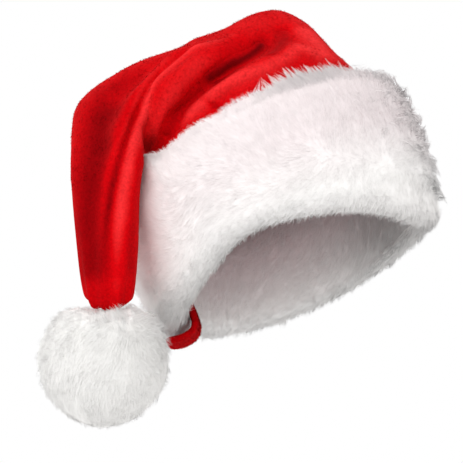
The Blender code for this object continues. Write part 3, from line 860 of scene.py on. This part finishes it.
# Longer hair in some spots, as seen in the photograph's frame: place and radius in pixels, more in
# millimetres.
LONGER_COLUMNS = ("name", "place", "radius", "more")
LONGER_AT_RIM = (
    ("over the fold", (174, 326), 13, 5.0),
    ("beside the pompom", (150, 312), 16, 4.0),
    ("end of the near rim", (424, 236), 16, 3.0),
)
LONGER_AT_TOP = (
    ("over the crown's base", (318, 68), 34, 3.5),
    ("top of the forehead", (388, 84), 22, 4.0),
)
LONGER_ON_POMPOM = (
    ("towards the cuff", (150, 320), 22, 6.0),
    ("over the sleeve's end", (128, 306), 18, 5.0),
)


def longer_near(table):
    """How much longer the hair is near the spots of a table."""
    def more(places, normals):
        spots = in_photo(places)
        found = np.zeros(len(places))
        for values in table:
            row = dict(zip(LONGER_COLUMNS, values, strict=True))
            away = np.linalg.norm(spots - np.array(row["place"]), axis=1) / row["radius"]
            found = np.maximum(found, row["more"] * MM * np.exp(-(away**2)))
        return found
    return more


def near_spot(place, radius):
    """Keeps the side that the camera sees, near a place in the photograph's frame."""
    def keep(places, facing):
        away = np.linalg.norm(in_photo(places) - np.array(place), axis=1) / radius
        return np.exp(-(away**2)) * (facing @ to_camera > 0.05)
    return keep


cuff_surface = (p_points, p_triangles, p_normals)
for name, keep, comb, colours, longer in (
    ("cuff_fur_outside", outside_share, outside_comb, cuff_white, None),
    ("cuff_fur_inside", inside_share, inside_comb, inner_shaded_white, None),
    ("cuff_tufts", tufted_share, tuft_comb, cuff_white, None),
    ("edge_tufts", edge_share, tuft_comb, edge_white, None),
    ("cuff_top_wisps", top_share, top_comb, cuff_white, longer_near(LONGER_AT_TOP)),
    ("rim_tufts", rim_share, rim_comb, cuff_white, longer_near(LONGER_AT_RIM)),
):
    fur_layer(
        name, cuff_surface, keep, comb, colours, fur_surface, "cuff_fur", pile_room, longer, facing_outwards
    )

# Wisps near single spots, given by place and radius in the photograph's frame
near_crown_base = near_spot((308, 74), 30)
fur_layer(
    "crown_wisps", cuff_surface,
    lambda places, facing: near_crown_base(places, facing) * top_share(places, facing),
    lambda places, normals: unit(
        up + left * 0.8 + to_camera * 0.4 + rng.normal(size=places.shape) * 0.15
    ),
    cuff_white, fur_surface, "cuff_fur", pile_room, facing_of=facing_outwards,
)
fur_layer(
    "crease_wisps", cuff_surface, near_spot((152, 158), 7),
    lambda places, normals: flow(places, normals, left + up * 0.5, 0.3, 60), cuff_white, fur_surface,
    "cuff_fur", pile_room,
)

# The fur's dense part, a little under its tips: a share of its depth, up to a most in metres
SINK_SHARE = 0.2
MOST_SINK = 0.0005
sink = np.minimum(pile_room(p_points, p_normals) * SINK_SHARE, MOST_SINK)
sunk = p_points - p_normals * sink[:, None]
pile.data.vertices.foreach_set("co", sunk.reshape(-1))
inner = (round_opening(to_hat(p_points)).offset < CUFF_THICKNESS / 2)[:, None]
# The base's inner side takes the inner fur's painted shade, and its outer side the upper cuff's painted
# shade.
paint(pile.data, np.where(inner, inner_shaded_white(sunk, p_normals), white(sunk, 0.0)))
pile.data.materials.append(fur_surface)
finish_piece(pile, "cuff_fur", "cuff_pile")

# Pompom
POMPOM_WHITE = np.array((0.99, 0.99, 0.975))
pompom_surface = fur_material("pompom_fur", 0.6)
ball = welded_copy("pompom", "pompom_core", 1)
b_points, b_triangles, _ = arrays(ball.data)

# The tip's lobes press a dent into the pompom's near side, just under its top
DENT_DEPTH = 0.0105
DENT_WIDTH = 0.017
DENT_OUT, DENT_UP = 0.017, 0.038
dent = centre + level_towards * DENT_OUT + np.array((0, 0, DENT_UP))
pressed = np.exp(-((np.linalg.norm(b_points - dent, axis=1) / DENT_WIDTH) ** 2))
b_points = b_points - unit(b_points - centre) * (DENT_DEPTH * pressed)[:, None]


def pompom_comb(places, normals):
    """Away from the pompom's upper near side, and down."""
    return flow(places, normals, down * 0.8 - to_camera * 0.5, 0.6, 28)


POMPOM_SPREAD = (0.97, 1.01)
BALL_SINK = 0.0004


def pompom_white(places, normals):
    return POMPOM_WHITE * rng.uniform(*POMPOM_SPREAD, len(places))[:, None]


ball_surface = (b_points, b_triangles, unit(b_points - centre))
fur_layer("pompom_fur", ball_surface, None, pompom_comb, pompom_white, pompom_surface, "pompom_fur")
fur_layer(
    "pompom_tufts", ball_surface, None, pompom_comb, pompom_white, pompom_surface, "pompom_fur",
    longer=longer_near(LONGER_ON_POMPOM),
)
fur_layer(
    "tip_wisps", ball_surface, near_spot((112, 316), 15),
    lambda places, normals: flow(places, normals, left * 0.3 - down, 1.0, 90), pompom_white, pompom_surface,
    "pompom_fur",
)
sunk = b_points - unit(b_points - centre) * BALL_SINK
ball.data.vertices.foreach_set("co", sunk.reshape(-1))
paint(ball.data, np.repeat(POMPOM_WHITE[None], len(sunk), axis=0))
ball.data.materials.append(pompom_surface)
finish_piece(ball, "pompom_fur", "pompom")

# The fold of plush under the rim
fold = welded_copy("plush_fold", "fold_under_rim", 2)
f_points, f_triangles, f_normals = arrays(fold.data)
# The fold's tone sits a little under the middle: painted shade under the rim.
FOLD_PAINTED_SHADE = 0.42
FOLD_TONE_SPREAD = 0.12
FOLD_NAP = 0.0011
f_points = f_points + f_normals * FOLD_NAP
fold.data.vertices.foreach_set("co", f_points.reshape(-1))
fold.data.update()
paint(fold.data, pile_colour(np.full(len(f_points), FOLD_PAINTED_SHADE)))
fold.data.materials.append(plush)
finish_piece(fold, "fold_plush", "plush_fold")
fur_layer(
    "fold_pile", (f_points, f_triangles, f_normals), None,
    lambda places, normals: flow(places, normals, down, 0.8, 40),
    lambda places, normals: pile_colour(FOLD_PAINTED_SHADE + rng.normal(size=len(places)) * FOLD_TONE_SPREAD),
    plush, "fold_plush",
)

# The cuff's backing cloth, between its layers of fur
BACKING_WHITE = (0.86, 0.85, 0.84)
BACKING_SHADE = 0.9
backing = bpy.data.materials.new("backing_cloth")
tree, shader = node_group(backing)
weave = tree.nodes.new("ShaderNodeTexNoise")
weave.inputs["Scale"].default_value = 900
shade = tree.nodes.new("ShaderNodeMix")
shade.data_type = "RGBA"
shade.inputs["A"].default_value = (*(value * BACKING_SHADE for value in BACKING_WHITE), 1)
shade.inputs["B"].default_value = (*BACKING_WHITE, 1)
tree.links.new(weave.outputs["Fac"], shade.inputs["Factor"])
tree.links.new(shade.outputs["Result"], shader.inputs["Base Color"])
shader.inputs["Roughness"].default_value = 0.9
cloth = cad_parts["cuff"].data
cloth.materials.clear()
cloth.materials.append(backing)

# Floor and light. The hat is worn, so the floor lies well under it. Lengths are in metres.
FLOOR_DROP = 0.30
FLOOR_REACH = 6
FLOOR_GREY = (0.86, 0.86, 0.86, 1)
AMBIENT_COLOUR = (1, 0.985, 0.98, 1)
AMBIENT_STRENGTH = 1.0
KEY_STRENGTH = 1.5
KEY_ANGLE = math.radians(60)
KEY_TO_LEFT = 0.5
KEY_RISE = 0.2

floor_height = cad_box[0][2] - FLOOR_DROP
corners = ((-1, -1), (1, -1), (1, 1), (-1, 1))
floor_mesh = bpy.data.meshes.new("floor")
floor_mesh.from_pydata(
    [(x * FLOOR_REACH, y * FLOOR_REACH, floor_height) for x, y in corners], [], [(0, 1, 2, 3)]
)
floor = bpy.data.objects.new("floor", floor_mesh)
bpy.context.scene.collection.objects.link(floor)
floor_surface = bpy.data.materials.new("floor")
tree, shader = node_group(floor_surface)
shader.inputs["Base Color"].default_value = FLOOR_GREY
shader.inputs["Roughness"].default_value = 0.9
floor_mesh.materials.append(floor_surface)

world = bpy.data.worlds.new("studio")
bpy.context.scene.world = world
world.use_nodes = True
nodes, links = world.node_tree.nodes, world.node_tree.links
ambient = nodes["Background"]
ambient.inputs["Color"].default_value = AMBIENT_COLOUR
ambient.inputs["Strength"].default_value = AMBIENT_STRENGTH
backdrop = nodes.new("ShaderNodeBackground")
backdrop.inputs["Color"].default_value = (1, 1, 1, 1)
path = nodes.new("ShaderNodeLightPath")
choose = nodes.new("ShaderNodeMixShader")
links.new(path.outputs["Is Camera Ray"], choose.inputs[0])
links.new(ambient.outputs[0], choose.inputs[1])
links.new(backdrop.outputs[0], choose.inputs[2])
links.new(choose.outputs[0], nodes["World Output"].inputs["Surface"])

key_data = bpy.data.lights.new("key", "SUN")
key_data.energy = KEY_STRENGTH
key_data.angle = KEY_ANGLE
key = bpy.data.objects.new("key", key_data)
bpy.context.scene.collection.objects.link(key)
key_from = towards - right * KEY_TO_LEFT + Vector((0, 0, KEY_RISE))
key.rotation_mode = "QUATERNION"
key.rotation_quaternion = (-key_from).to_track_quat("-Z", "Y")

scene = bpy.context.scene
scene.view_settings.view_transform = "Standard"
scene.cycles.use_denoising = True
scene.cycles.max_bounces = 10
scene.cycles.diffuse_bounces = 6
